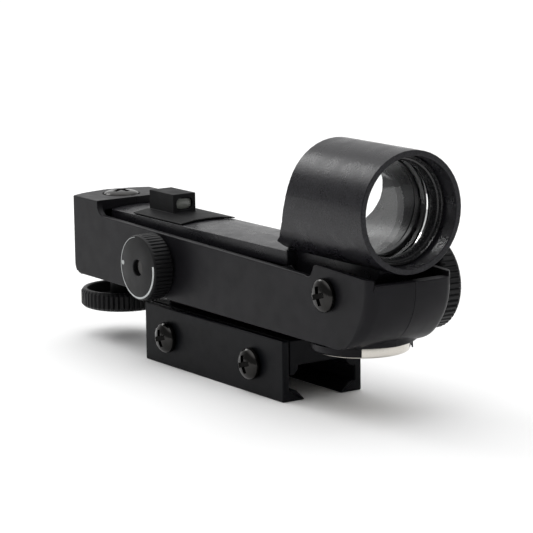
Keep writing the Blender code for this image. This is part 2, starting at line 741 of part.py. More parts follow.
# ---- sight arm ------------------------------------------------------------------------------


def tube_rear_cutter():
    """What is behind the tube's rear edge: upright above, swept back to the heel below."""
    centre = (TUBE_REAR - SWEEP_RADIUS, TUBE_Z + 4.4)
    lowest = -math.degrees(math.acos((TUBE_HEEL - centre[0]) / SWEEP_RADIUS))
    outline = [(0.0, 60.0), (TUBE_REAR, 60.0)]
    outline += arc(centre, SWEEP_RADIUS, 0.0, lowest, 6)
    outline += [(TUBE_HEEL, ARM_SKIRT_Z), (0.0, ARM_SKIRT_Z)]
    return prism(outline, "Y", -20.0, 20.0)


def tube_bore():
    """The tube's bore from front to rear: mouth, lens room, seat, groove and flared rear bore."""
    seat_rear, seat_front = SEAT_X
    return [
        (0.0, TUBE_FRONT + 5.0),
        (TUBE_BORE + 0.05, TUBE_FRONT + 5.0),
        (TUBE_BORE, TUBE_FRONT - 0.5),
        (TUBE_BORE, seat_front),
        (9.9, seat_front),
        (9.9, seat_rear),
        (11.3, seat_rear),
        (11.3, seat_rear - 1.4),
        (10.9, seat_rear - 1.4),
        (10.9, TUBE_REAR + 6.0),
        (11.9, TUBE_REAR),
        (11.9, TUBE_HEEL + 2.0),
        (11.0, TUBE_HEEL - 2.5),
        (0.0, TUBE_HEEL - 2.5),
    ]


def pedestal_outline():
    """The post under the tube, round the pivot nut, as (x, z)."""
    return [
        (TUBE_HEEL, ARM_SKIRT_Z + 0.2),
        (AZIMUTH_X - 7.0, 13.6),
        (AZIMUTH_X - 4.5, 12.9),
        (AZIMUTH_X + 4.2, 12.9),
        (AZIMUTH_X + 5.2, 17.0),
        (53.6, 23.0),
        (53.6, 26.5),
        (TUBE_HEEL, 26.5),
    ]


def make_arm_half(name, side):
    def half_helper(label, bm):
        return helper(name + "_" + label, bm)

    seam = side * SEAM
    section = [
        (seam, ARM_SKIRT_Z),
        (side * ARM_HALF, ARM_SKIRT_Z),
        (side * ARM_HALF, ARM_TOP),
        (side * ARM_HALF * 0.5, ARM_CROWN - 0.13),
        (seam, ARM_CROWN),
    ]
    half = piece(name, prism(section, "X", ARM_REAR, ARM_FRONT), "arm_black", "sight_arm")
    hollow = box((ARM_REAR + 2.0, -ARM_HALF + 1.3, ARM_SKIRT_Z - 1.0), (ARM_FRONT - 3.0, ARM_HALF - 1.3, 22.9))
    cut(half, half_helper("hollow", hollow))
    tail = [(TAIL_REAR, TAIL_LOW), (-44.5, TAIL_LOW), (-42.0, ARM_SKIRT_Z + 1.0), (-44.0, ARM_TOP - 1.3)]
    tail += [(ARM_REAR, ARM_TOP - 1.3), (-48.2, TAIL_TOP), (TAIL_REAR, TAIL_TOP)]
    add(half, half_helper("tail", prism(tail, "Y", seam, side * (ARM_HALF - 0.1))))
    pedestal = prism(pedestal_outline(), "Y", seam, side * PEDESTAL_HALF)
    add(half, half_helper("pedestal", pedestal))
    tube = half_helper("tube", rod(TUBE_RADIUS, "X", (0.0, TUBE_Z), 15.0, TUBE_FRONT, ROUND))
    cut(tube, tube_cutter)
    keep(tube, half_helper("side", box((0.0, min(seam, side * 20.0), 10.0), (70.0, max(seam, side * 20.0), 60.0))))
    add(half, tube)
    cut(half, *arm_cutters)
    return half


def make_arm():
    centre = (AZIMUTH_X, AZIMUTH_Z)
    shapes = {
        "tube_bore": turned(tube_bore(), "X", (0.0, TUBE_Z), ROUND),
        "pivot_bore": rod(3.75, "Y", centre, -8.0, 8.0),
        "altitude_bore": rod(SCREW_HOLE + 0.1, "Z", (ALTITUDE_X, 0.0), 10.0, 25.0),
        "nut_pocket": prism(arc((ALTITUDE_X, 0.0), 3.9, 0.0, 300.0, 5), "Z", 10.0, TAIL_LOW + 2.6),
        "lead_hole": rod(1.3, "Z", (-31.4, 0.0), 18.0, 28.0, 12),
        "rear_screw_hole": stepped_hole("Y", (-48.6, 18.6), (1.2, 2.2), (-5.0, 5.9, 12.0), 16),
        "front_screw_hole": stepped_hole("Y", (29.0, 21.6), (1.2, 2.2), (-3.2, 3.4, 12.0), 16),
    }
    arm_cutters.extend(helper("arm_" + name, bm) for name, bm in shapes.items())
    make_arm_half("arm_right", -1.0)
    make_arm_half("arm_left", 1.0)
    for name, (x, z), tip, seat in (
        ("arm_screw_rear", (-48.6, 18.6), -4.6, 6.1),
        ("arm_screw_front", (29.0, 21.6), -2.9, 3.6),
    ):
        profile = [(0.0, tip), (1.0, tip), (1.0, seat), (1.95, seat), (1.95, seat + 0.8), (0.0, seat + 0.8)]
        piece(name, turned(profile, "Y", (x, z), 16), "screw_black", "sight_arm")


def lens_profile():
    """A meniscus lens: both faces are curved the same way, as (radius, distance along the axis)."""
    steps = 5
    rear = []
    front = []
    for step in range(steps + 1):
        radius = LENS_RADIUS * step / steps
        sag = LENS_CURVE - math.sqrt(LENS_CURVE**2 - radius**2)
        rear.append((radius, LENS_X - 1.0 - sag))
        front.append((radius, LENS_X + 1.1 - sag))
    return rear + front[::-1]


def make_optics():
    pivot = (LENS_X, 0.0, TUBE_Z)
    lens = tilted(turned(lens_profile(), "X", (0.0, TUBE_Z), ROUND), -LENS_TILT, pivot)
    piece("objective_lens", lens, "lens_glass", "sight_arm")
    rear, front = RETAINER_X
    retainer = [
        (TUBE_BORE - 0.15, rear),
        (TUBE_BORE - 0.15, front),
        (10.7, front),
        (10.7, front - 1.0),
        (10.2, front - 1.3),
        (9.9, rear + 0.6),
        (9.9, rear),
    ]
    piece("lens_retainer", turned(retainer, "X", (0.0, TUBE_Z), ROUND), "arm_black", "sight_arm")


def rounded_slot(width, height, centre_z, corner):
    """A rectangle with round corners across X, as (y, z)."""
    outline = []
    for index, (sy, sz) in enumerate(((1, 1), (-1, 1), (-1, -1), (1, -1))):
        middle = (sy * (width / 2.0 - corner), centre_z + sz * (height / 2.0 - corner))
        outline += arc(middle, corner, index * 90.0, index * 90.0 + 90.0, 3)
    return outline


def make_dot():
    """The illuminated post: its foot follows the arm's crown, and the lamp shines out of its front."""
    low = ARM_TOP + GAP
    crown = ARM_CROWN + GAP
    half = ARM_HALF
    foot = [(-half, low), (-half / 2.0, crown - 0.1), (0.0, crown + 0.03), (half / 2.0, crown - 0.1), (half, low)]
    foot += [(half, low + 0.3), (half / 2.0, crown + 0.3), (0.0, crown + 0.43), (-half / 2.0, crown + 0.3)]
    foot.append((-half, low + 0.3))
    holder = piece("led_housing", prism(foot, "X", *PAD_X), "knob_black", "sight_arm")
    post = box((POST_X[0], -POST_HALF, crown + 0.15), (POST_X[1], POST_HALF, POST_TOP))
    add(holder, helper("led_post", post))
    front = POST_X[1]
    window_room = prism(rounded_slot(4.3, 2.7, DOT_Z, 1.2), "X", front - 1.3, front + 2.0)
    lamp_room = rod(1.35, "X", (0.0, DOT_Z), POST_X[0] + 2.2, front - 1.0, 16)
    lead_room = rod(1.0, "Z", (-31.4, 0.0), 20.0, DOT_Z, 12)
    cut(holder, helper("window_room", window_room), helper("lamp_room", lamp_room), helper("lead_room", lead_room))
    window = prism(rounded_slot(4.0, 2.4, DOT_Z, 1.1), "X", front - 0.95, front - 0.35)
    piece("led_window", window, "lens_glass", "sight_arm")
    mask = ring(0.15, 1.2, "X", (0.0, DOT_Z), front - 2.1, front - 1.8, 12)
    piece("pinhole_mask", mask, "steel", "sight_arm")
    lamp = [(0.0, -31.0), (1.15, -31.0), (1.15, -29.5), (0.95, -28.9), (0.5, -28.5), (0.0, -28.4)]
    piece("led", turned(lamp, "X", (0.0, DOT_Z), 12), "led_red", "sight_arm")
    leads = [(-31.8, 0.0, DOT_Z - 0.6), (-31.4, 0.0, 24.5), (-31.0, 0.0, 21.6), (-28.0, -0.6, 19.0)]
    leads += [(-24.0, -2.2, 17.2), (-21.6, -3.4, 16.4)]
    wire("led_leads", leads, 0.4, "red_wire", "sight_arm")


# ---- build ----------------------------------------------------------------------------------

for old in list(bpy.data.objects):
    bpy.data.objects.remove(old, do_unlink=True)
make_materials()
make_bodies()
make_rail_base()
make_clamp_jaw()
make_clamp_screws()
make_mount_screws()
side_form = helper("housing_side_form", prism(top_outline(), "Y", -16.0, 16.0))
outer_form = helper("housing_outer_form", hull_form())
cutters = housing_cutters()
make_housing()
make_electrics()
make_brightness_dial()
make_azimuth()
make_altitude()
tube_cutter = helper("tube_rear_form", tube_rear_cutter())
arm_cutters = []
make_arm()
make_optics()
make_dot()
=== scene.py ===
"""How the red dot finder looks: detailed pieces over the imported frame, materials, stage, light and camera.

Lengths are in millimetres until a mesh is stored, and then in metres, in the frame's own axes: +X towards
the lens tube, +Y to the user's left, +Z up, with the origin in the middle of the rail seat.
"""

import json
import math

import bmesh
import bpy
from mathutils import Matrix, Quaternion, Vector


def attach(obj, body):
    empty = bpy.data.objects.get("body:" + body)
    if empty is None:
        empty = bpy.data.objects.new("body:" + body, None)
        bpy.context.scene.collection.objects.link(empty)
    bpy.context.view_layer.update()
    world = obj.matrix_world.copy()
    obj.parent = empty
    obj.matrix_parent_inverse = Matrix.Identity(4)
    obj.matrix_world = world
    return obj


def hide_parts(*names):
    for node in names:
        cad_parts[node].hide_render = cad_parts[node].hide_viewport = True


MM = 0.001
ROUND = 96  # sides of a large turned piece
SMALL_ROUND = 48  # sides of a screw

SHARP = 32.0  # degrees of turn above which an edge is shaded sharp
WELD = 1e-6  # metres within which a CAD node's points are one
SEAM_REACH = 0.1  # how far from the centre plane an edge still belongs to the joint of two halves

# Where the turned pieces have their axes, as the two coordinates across each axis.
CLAMP_SCREW_X = {"rear": -17.4, "front": 15.9}
CLAMP_SCREW_Z = -1.0
AZIMUTH = (43.6, 18.1)
ALTITUDE = (-53.4, 0.0)
DIAL = (-20.4, 14.95)
CELL = (41.3, 0.0)
TUBE = (0.0, 35.75)

SCREW_PITCH = 0.7
KNOB_RADIUS = 10.0
KNOB_RIBS = 51
KNOB_GROOVE = 0.34
HUB_RADIUS = 3.1
DIAL_RADIUS = 7.4
DIAL_RIBS = 48
DIAL_GROOVE = 0.26
DIAL_FACE = -16.17
DIAL_BACK = -11.2
CELL_RADIUS = 10.0
CELL_HEIGHTS = (5.2, 8.4)
LENS_RADIUS = 10.85
LENS_CURVE = 110.0  # radius of both its faces
LENS_REAR, LENS_MIDDLE, LENS_FRONT = 48.1, 49.1, 50.2
LENS_TILT = 3.3  # degrees
RETAINER_X = (51.3, 54.4)
POST_FRONT = -25.8
WINDOW_Z = 27.1
FOOT_Z = -7.6

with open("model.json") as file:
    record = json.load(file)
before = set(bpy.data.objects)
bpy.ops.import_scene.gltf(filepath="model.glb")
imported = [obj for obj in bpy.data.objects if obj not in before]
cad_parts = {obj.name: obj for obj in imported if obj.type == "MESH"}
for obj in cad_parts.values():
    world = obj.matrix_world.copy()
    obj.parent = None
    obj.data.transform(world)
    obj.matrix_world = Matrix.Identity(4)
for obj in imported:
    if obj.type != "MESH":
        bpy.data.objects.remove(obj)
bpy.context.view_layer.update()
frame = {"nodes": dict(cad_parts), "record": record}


# ---- materials ------------------------------------------------------------------------------


class Recipe:
    """A material under construction: short ways to add and join shader nodes."""

    def __init__(self, name):
        self.material = bpy.data.materials.new(name)
        self.material.use_nodes = True
        self.tree = self.material.node_tree
        self.shader = self.tree.nodes["Principled BSDF"]
        self.where = self.add("ShaderNodeTexCoord").outputs["Object"]

    def add(self, kind):
        return self.tree.nodes.new(kind)

    def join(self, source, target):
        self.tree.links.new(source, target)

    def noise(self, size, detail=2.0, roughness=0.5):
        """Noise whose features are about that many millimetres across, from 0 to 1."""
        node = self.add("ShaderNodeTexNoise")
        node.inputs["Scale"].default_value = 1.0 / (size * MM)
        node.inputs["Detail"].default_value = detail
        node.inputs["Roughness"].default_value = roughness
        self.join(self.where, node.inputs["Vector"])
        return node.outputs["Fac"]

    def spread(self, source, low, high, low_value, high_value):
        """Maps a range of the source onto a range of values, without going outside it."""
        node = self.add("ShaderNodeMapRange")
        node.inputs["From Min"].default_value = low
        node.inputs["From Max"].default_value = high
        node.inputs["To Min"].default_value = low_value
        node.inputs["To Max"].default_value = high_value
        self.join(source, node.inputs["Value"])
        return node.outputs["Result"]

    def math(self, operation, first, second):
        node = self.add("ShaderNodeMath")
        node.operation = operation
        for socket, value in zip(node.inputs, (first, second)):
            if isinstance(value, float):
                socket.default_value = value
            else:
                self.join(value, socket)
        return node.outputs["Value"]

    def colours(self, source, dark, light):
        """A colour between two, by the source."""
        ramp = self.add("ShaderNodeValToRGB")
        ramp.color_ramp.elements[0].position = 0.3
        ramp.color_ramp.elements[0].color = (*dark, 1.0)
        ramp.color_ramp.elements[1].position = 0.7
        ramp.color_ramp.elements[1].color = (*light, 1.0)
        self.join(source, ramp.inputs["Fac"])
        self.join(ramp.outputs["Color"], self.shader.inputs["Base Color"])

    def rough(self, source):
        self.join(source, self.shader.inputs["Roughness"])

    def bump(self, source, height):
        """Bumps of about that many millimetres from low to high."""
        node = self.add("ShaderNodeBump")
        node.inputs["Distance"].default_value = height * MM
        self.join(source, node.inputs["Height"])
        self.join(node.outputs["Normal"], self.shader.inputs["Normal"])

    def set(self, **values):
        for name, value in values.items():
            self.shader.inputs[name.replace("_", " ")].default_value = value


def toned(colour, share):
    """A colour made darker or lighter, up to white."""
    return tuple(min(1.0, c * share) for c in colour)


def moulded(name, colour, roughness, grain, height, gloss, painted_glints_and_bump=0.0):
    """Moulded black plastic: an even fine grain and a faint unevenness of tone; given a glint strength,
    painted glints instead, as light and dark speckles in its colour, over coarser bumps as strong as that.
    """
    recipe = Recipe(name)
    if painted_glints_and_bump:
        # painted glints: light and dark speckles in the base colour stand in for the sparkle of highlights on
        # the grain
        recipe.colours(recipe.noise(grain * 1.3, 1.0), toned(colour, 0.4), toned(colour, 2.6))
    else:
        recipe.colours(recipe.noise(9.0, 3.0), toned(colour, 0.82), toned(colour, 1.25))
    fine = recipe.noise(grain, 3.0, 0.6)
    recipe.rough(recipe.spread(recipe.noise(3.5, 4.0), 0.3, 0.7, roughness - 0.06, roughness + 0.06))
    if painted_glints_and_bump:
        coarse = recipe.math("MULTIPLY", recipe.noise(grain * 1.6, 0.0), painted_glints_and_bump)
        fine = recipe.math("ADD", coarse, fine)
    recipe.bump(fine, height)
    recipe.set(Specular_IOR_Level=gloss)
    return recipe.material


def coated(name, colour, roughness, height):
    """Smooth coated metal with a very fine satin grain."""
    recipe = Recipe(name)
    recipe.colours(recipe.noise(6.0, 4.0), toned(colour, 0.85), toned(colour, 1.2))
    recipe.rough(recipe.spread(recipe.noise(1.6, 5.0), 0.3, 0.7, roughness - 0.05, roughness + 0.07))
    recipe.bump(recipe.noise(0.12, 2.0), height)
    recipe.set(Specular_IOR_Level=0.08)
    return recipe.material


def metal(name, colour, roughness):
    """Plain metal with fine handling marks."""
    recipe = Recipe(name)
    recipe.colours(recipe.noise(2.4, 4.0), toned(colour, 0.88), toned(colour, 1.08))
    marks = recipe.noise(0.25, 4.0, 0.6)
    recipe.rough(recipe.spread(marks, 0.25, 0.75, roughness - 0.06, roughness + 0.10))
    recipe.bump(marks, 0.004)
    recipe.set(Metallic=1.0)
    return recipe.material


def turned_steel(name, colour, roughness, centre):
    """Bright pressed steel with fine marks that run round its axis."""
    recipe = Recipe(name)
    offset = recipe.add("ShaderNodeVectorMath")
    offset.operation = "SUBTRACT"
    offset.inputs[1].default_value = (centre[0] * MM, centre[1] * MM, 0.0)
    recipe.join(recipe.where, offset.inputs[0])
    flat = recipe.add("ShaderNodeVectorMath")
    flat.operation = "MULTIPLY"
    flat.inputs[1].default_value = (1.0, 1.0, 0.0)
    recipe.join(offset.outputs["Vector"], flat.inputs[0])
    length = recipe.add("ShaderNodeVectorMath")
    length.operation = "LENGTH"
    recipe.join(flat.outputs["Vector"], length.inputs[0])
    rings = recipe.add("ShaderNodeTexNoise")
    rings.noise_dimensions = "1D"
    rings.inputs["Scale"].default_value = 4200.0
    rings.inputs["Detail"].default_value = 3.0
    recipe.join(length.outputs["Value"], rings.inputs["W"])
    recipe.colours(recipe.noise(5.0, 4.0), toned(colour, 0.9), colour)
    recipe.rough(recipe.spread(rings.outputs["Fac"], 0.3, 0.7, roughness - 0.05, roughness + 0.09))
    recipe.bump(rings.outputs["Fac"], 0.003)
    recipe.set(Metallic=1.0)
    return recipe.material


def clear(name, colour, roughness, transmission=1.0):
    """Clear or smoked glass."""
    recipe = Recipe(name)
    recipe.colours(recipe.noise(14.0, 2.0), toned(colour, 0.985), colour)
    recipe.rough(recipe.spread(recipe.noise(2.0, 3.0), 0.3, 0.7, roughness, roughness + 0.015))
    recipe.set(Transmission_Weight=transmission, IOR=1.52)
    return recipe.material


def glossy(name, colour, roughness):
    """Smooth insulation, lamp plastic or paint."""
    recipe = Recipe(name)
    recipe.colours(recipe.noise(1.5, 3.0), toned(colour, 0.85), toned(colour, 1.1))
    recipe.rough(recipe.spread(recipe.noise(0.8, 3.0), 0.3, 0.7, roughness - 0.04, roughness + 0.06))
    recipe.bump(recipe.noise(0.3, 2.0), 0.004)
    return recipe.material


def matte(name, colour):
    """The floor's plain paper."""
    recipe = Recipe(name)
    recipe.colours(recipe.noise(400.0, 2.0), toned(colour, 0.99), colour)
    recipe.set(Roughness=0.9, Specular_IOR_Level=0.1)
    return recipe.material


MATERIALS = {
    "shell_black": moulded("shell_black", (0.0082, 0.0078, 0.0094), 0.40, 0.22, 0.006, 0.12),
    # the arm's black carries painted glints as speckles in its colour, over coarser bumps
    "arm_black": moulded("arm_black", (0.0078, 0.0075, 0.0092), 0.30, 0.24, 0.012, 0.22, 1.6),
    "clamp_black": coated("clamp_black", (0.0042, 0.0044, 0.0056), 0.36, 0.003),
    "screw_black": metal("screw_black", (0.032, 0.031, 0.030), 0.14),
    "knob_black": moulded("knob_black", (0.0060, 0.0060, 0.0066), 0.45, 0.16, 0.006, 0.20),
    "pad_black": moulded("pad_black", (0.0065, 0.0065, 0.0070), 0.58, 0.25, 0.012, 0.12),
    "steel": metal("steel", (0.62, 0.62, 0.61), 0.28),
    "cell_steel": turned_steel("cell_steel", (0.64, 0.61, 0.56), 0.22, CELL),
    "brass": metal("brass", (0.72, 0.54, 0.27), 0.30),
    "lens_glass": clear("lens_glass", (0.985, 0.995, 0.99), 0.0),
    "ring_black": glossy("ring_black", (0.010, 0.010, 0.011), 0.24),
    "window_glass": clear("window_glass", (0.20, 0.21, 0.19), 0.20, 0.25),
    "led_red": glossy("led_red", (0.55, 0.03, 0.02), 0.16),
    "red_wire": glossy("red_wire", (0.45, 0.02, 0.02), 0.42),
    "black_wire": glossy("black_wire", (0.015, 0.015, 0.015), 0.42),
    "index_white": glossy("index_white", (0.50, 0.52, 0.52), 0.45),
}


# ---- meshes ---------------------------------------------------------------------------------


def place(axis, u, v, along):
    """A point from its two coordinates in the plane across an axis and its distance along the axis."""
    if axis == "X":
        return Vector((along, u, v))
    if axis == "Y":
        return Vector((u, along, v))
    return Vector((u, v, along))


def lathe(profile, axis, centre, sides, closed=False, ribs=0, land=0.45):
    """Turns a profile of (radius, distance along the axis, groove depth) about an axis.

    A closed profile makes a ring, and any other starts and ends on the axis. With ribs, each groove is cut
    between two lands as deep as the profile says.
    """
    steps = []
    if ribs:
        for rib in range(ribs):
            for share, depth in ((0.0, 0.0), (land, 0.0), ((1.0 + land) / 2.0, 1.0)):
                steps.append((2.0 * math.pi * (rib + share) / ribs, depth))
    else:
        steps = [(2.0 * math.pi * step / sides, 0.0) for step in range(sides)]
    bm = bmesh.new()
    rows = []
    for point in profile:
        radius, along = point[0], point[1]
        groove = point[2] if len(point) > 2 else 0.0
        if radius == 0.0:
            rows.append([bm.verts.new(place(axis, centre[0], centre[1], along))])
            continue
        row = []
        for angle, depth in steps:
            reach = radius - groove * depth
            u = centre[0] + reach * math.cos(angle)
            v = centre[1] + reach * math.sin(angle)
            row.append(bm.verts.new(place(axis, u, v, along)))
        rows.append(row)
    pairs = list(zip(rows, rows[1:]))
    if closed:
        pairs.append((rows[-1], rows[0]))
    count = len(steps)
    for row, following in pairs:
        for index in range(count):
            after = (index + 1) % count
            if len(row) == 1:
                bm.faces.new((row[0], following[after], following[index]))
            elif len(following) == 1:
                bm.faces.new((row[index], row[after], following[0]))
            else:
                bm.faces.new((row[index], row[after], following[after], following[index]))
    bmesh.ops.recalc_face_normals(bm, faces=bm.faces)
    return bm


def loft(outlines):
    """A closed solid through outlines of the same number of points, from the first to the last."""
    bm = bmesh.new()
    rows = [[bm.verts.new(point) for point in outline] for outline in outlines]
    for row, following in zip(rows, rows[1:]):
        for index in range(len(row)):
            after = (index + 1) % len(row)
            bm.faces.new((row[index], row[after], following[after], following[index]))
    bm.faces.new(rows[0])
    bm.faces.new(rows[-1])
    bmesh.ops.recalc_face_normals(bm, faces=bm.faces)
    return bm


def store(name, bm, material):
    """A smooth-shaded object in metres, with the edges that turn by more than SHARP left sharp."""
    bmesh.ops.scale(bm, verts=bm.verts, vec=Vector((MM, MM, MM)))
    mesh = bpy.data.meshes.new(name)
    bm.to_mesh(mesh)
    bm.free()
    mesh.shade_smooth()
    mesh.set_sharp_from_angle(angle=math.radians(SHARP))
    obj = bpy.data.objects.new(name, mesh)
    bpy.context.scene.collection.objects.link(obj)
    mesh.materials.append(MATERIALS[material])
    return obj


def belong(obj, body, slot, *nodes):
    """Puts a piece on its body and hides the CAD nodes that it stands for; the slot it is given is not used.
    """
    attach(obj, body)
    if nodes:
        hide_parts(*nodes)
    return obj


def soften(obj, width, segments, angle):
    """Rounds the edges that turn by more than an angle."""
    bevel = obj.modifiers.new("round edges", "BEVEL")
    bevel.width = width * MM
    bevel.segments = segments
    bevel.limit_method = "ANGLE"
    bevel.angle_limit = math.radians(angle)
    bevel.use_clamp_overlap = True
    bevel.harden_normals = True


def carve(obj, *cutters):
    """Cuts other shapes out of a piece and keeps only the result."""
    for cutter in cutters:
        modifier = obj.modifiers.new("cut", "BOOLEAN")
        modifier.operation = "DIFFERENCE"
        modifier.solver = "EXACT"
        modifier.object = cutter
    bpy.context.view_layer.update()
    evaluated = obj.evaluated_get(bpy.context.evaluated_depsgraph_get())
    mesh = bpy.data.meshes.new_from_object(evaluated)
    obj.modifiers.clear()
    obj.data = mesh
    mesh.set_sharp_from_angle(angle=math.radians(SHARP))
    for cutter in cutters:
        bpy.data.objects.remove(cutter, do_unlink=True)


def even_shading(obj):
    """Keeps flat faces flat to the eye where they run into curved ones."""
    weighted = obj.modifiers.new("even shading", "WEIGHTED_NORMAL")
    weighted.keep_sharp = True
    weighted.weight = 80


def dressed(node, name, body, slot, material, width, gap=0.0, groove=0.0):
    """A finer copy of a CAD node: flat faces joined up and its long edges rounded.

    The two halves of a shell stand a gap apart, and a groove can follow their joint.
    """
    bm = bmesh.new()
    bm.from_mesh(frame["nodes"][node].data)
    bmesh.ops.remove_doubles(bm, verts=bm.verts, dist=WELD)
    bmesh.ops.scale(bm, verts=bm.verts, vec=Vector((1.0 / MM,) * 3))
    bmesh.ops.dissolve_limit(bm, angle_limit=math.radians(0.6), verts=bm.verts, edges=bm.edges)
    seam = []
    edges = []
    for edge in bm.edges:
        if len(edge.link_faces) != 2 or edge.calc_face_angle(0.0) < math.radians(38.0):
            continue
        if edge.calc_length() < 2.0 * width:
            continue
        if gap and all(abs(vert.co.y) < SEAM_REACH for vert in edge.verts):
            seam.append(edge)
        else:
            edges.append(edge)
    for vert in bm.verts:
        if gap and abs(vert.co.y) < SEAM_REACH:
            vert.co.y = math.copysign(gap / 2.0, vert.co.y)
    if groove:
        bmesh.ops.bevel(bm, geom=seam, offset=groove, segments=1, affect="EDGES", clamp_overlap=False)
        edges = [edge for edge in edges if edge.is_valid]
    bmesh.ops.bevel(
        bm,
        geom=edges,
        offset=width,
        segments=3,
        profile=0.5,
        affect="EDGES",
        clamp_overlap=False,
        miter_outer="ARC",
    )
    obj = store(name, bm, material)
    even_shading(obj)
    return belong(obj, body, slot, node)


def finish_nodes():
    """Gives every CAD node the scene's material for its slot."""
    slots = {entry["node"]: entry["material_slot"] for entry in frame["record"]["subparts"]}
    for node, obj in frame["nodes"].items():
        obj.data.materials.clear()
        obj.data.materials.append(MATERIALS[slots[node]])


# ---- screws ---------------------------------------------------------------------------------


def cross_cutter(axis, centre, face, inward, depth, span, width):
    """A tapered cross, wider at the face than at its bottom."""
    outlines = []
    for down, scale in ((-0.25, 1.12), (0.0, 1.0), (0.75, 0.52), (1.0, 0.22)):
        points = []
        half_span, half_width = span / 2.0 * scale, width / 2.0 * (0.55 + 0.45 * scale)
        for turn in range(4):
            angle = turn * math.pi / 2.0 + math.pi / 4.0 * 0.35
            for a, b in ((half_width, -half_width), (half_span, -half_width), (half_span, half_width)):
                u = centre[0] + a * math.cos(angle) - b * math.sin(angle)
                v = centre[1] + a * math.sin(angle) + b * math.cos(angle)
                points.append(place(axis, u, v, face + inward * depth * down))
        outlines.append(points)
    return loft(outlines)


def cross_screw(node, body, axis, centre, seat, out, head, shank, tip):
    """A cross-head screw with a domed head and a threaded shank, in place of its CAD node.

    The seat and the tip are places along the axis, and out is the sign of the way that the head faces.
    """
    radius, height = head
    core = shank * 0.84
    profile = [(0.0, tip), (shank * 0.72, tip)]
    turns = int((abs(seat - tip) - 1.2) / SCREW_PITCH)
    step = math.copysign(SCREW_PITCH, seat - tip)
    position = tip + step * 0.4
    for _ in range(turns):
        profile += [(core, position), (shank, position + step * 0.42), (shank, position + step * 0.58)]
        position += step
    profile += [(core, position), (shank, seat - out * 0.15), (shank, seat), (radius * 0.9, seat)]
    profile += [(radius * 0.98, seat + out * height * 0.05), (radius, seat + out * height * 0.16)]
    rim = 0.30
    for share in range(1, 11):
        angle = share / 10.0 * math.pi / 2.0
        rise = rim + (1.0 - rim) * math.sin(angle) ** 0.9
        profile.append((radius * math.cos(angle), seat + out * height * rise))
    profile[-1] = (0.0, seat + out * height)
    bm = lathe(profile, axis, centre, SMALL_ROUND)
    obj = store(node + "_body", bm, "screw_black")
    face = seat + out * height
    cross = cross_cutter(axis, centre, face, -out, height * 0.8, radius * 1.25, radius * 0.33)
    carve(obj, store(node + "_cross", cross, "screw_black"))
    soften(obj, 0.05, 2, 40.0)
    return belong(obj, body, "screw_black", node)


def make_screws():
    for name, x in CLAMP_SCREW_X.items():
        node = "clamp_screw_" + name
        cross_screw(node, node, "Y", (x, CLAMP_SCREW_Z), -10.3, -1.0, (3.45, 2.5), 1.75, 10.0)
    cross_screw("azimuth_screw", "azimuth_adjuster", "Y", AZIMUTH, -10.75, -1.0, (3.55, 2.2), 1.9, 16.0)
    cross_screw("altitude_screw", "altitude_adjuster", "Z", ALTITUDE, 25.55, 1.0, (4.1, 1.5), 1.9, 0.5)


# ---- knobs ----------------------------------------------------------------------------------


def cup_profile(rim, face, hub_end, bore_end):
    """A cup-shaped knob with a grooved rim, chamfered at both ends, and a hub inside."""
    out = 1.0 if face > rim else -1.0
    floor = face - out * 1.4
    return [
        (0.0, face),
        (KNOB_RADIUS - 1.3, face),
        (KNOB_RADIUS - 1.15, face - out * 0.04),
        (KNOB_RADIUS - 0.5, face - out * 0.30, 0.0),
        (KNOB_RADIUS, face - out * 0.85, KNOB_GROOVE),
        (KNOB_RADIUS, rim + out * 0.75, KNOB_GROOVE),
        (KNOB_RADIUS - 0.45, rim + out * 0.14, KNOB_GROOVE * 0.3),
        (KNOB_RADIUS - 0.62, rim, 0.0),
        (KNOB_RADIUS - 1.22, rim, 0.0),
        (KNOB_RADIUS - 1.4, rim + out * 0.18),
        (KNOB_RADIUS - 1.6, floor - out * 0.4),
        (KNOB_RADIUS - 1.95, floor),
        (3.45, floor),
        (HUB_RADIUS, floor - out * 0.35),
        (HUB_RADIUS, hub_end + out * 0.2),
        (2.9, hub_end),
        (2.15, hub_end),
        (2.0, hub_end + out * 0.15),
        (2.0, bore_end),
        (0.0, bore_end),
    ]


def make_knobs():
    for name, profile, axis, centre in (
        ("azimuth", cup_profile(12.4, 17.0, 11.55, 16.2), "Y", AZIMUTH),
        ("altitude", cup_profile(3.9, -0.6, 6.9, 0.3), "Z", ALTITUDE),
    ):
        knob = store(name + "_knob_ribbed", lathe(profile, axis, centre, 0, ribs=KNOB_RIBS), "knob_black")
        belong(knob, name + "_adjuster", "knob_black", name + "_knob")


def make_dial():
    """The brightness dial: a grooved rim, and a hole through which its screw shows."""
    back, face, radius = DIAL_BACK, DIAL_FACE, DIAL_RADIUS
    profile = [
        (1.65, back),
        (radius - 0.7, back),
        (radius - 0.25, back - 0.12, 0.0),
        (radius, back - 0.5, DIAL_GROOVE),
        (radius, face + 0.95, DIAL_GROOVE),
        (radius - 0.06, face + 0.55, DIAL_GROOVE * 0.4),
        (radius - 0.12, face + 0.30, 0.0),
        (radius - 0.24, face + 0.08, 0.0),
        (radius - 0.45, face, 0.0),
        (2.0, face),
        (1.85, face + 0.12),
        (1.85, face + 1.6),
        (0.8, face + 1.6),
        (0.8, face + 2.2),
        (1.65, face + 2.2),
    ]
    bm = lathe(profile, "Y", DIAL, 0, closed=True, ribs=DIAL_RIBS)
    knob = store("brightness_knob_ribbed", bm, "knob_black")
    belong(knob, "brightness_dial", "knob_black", "brightness_knob")
    make_index()


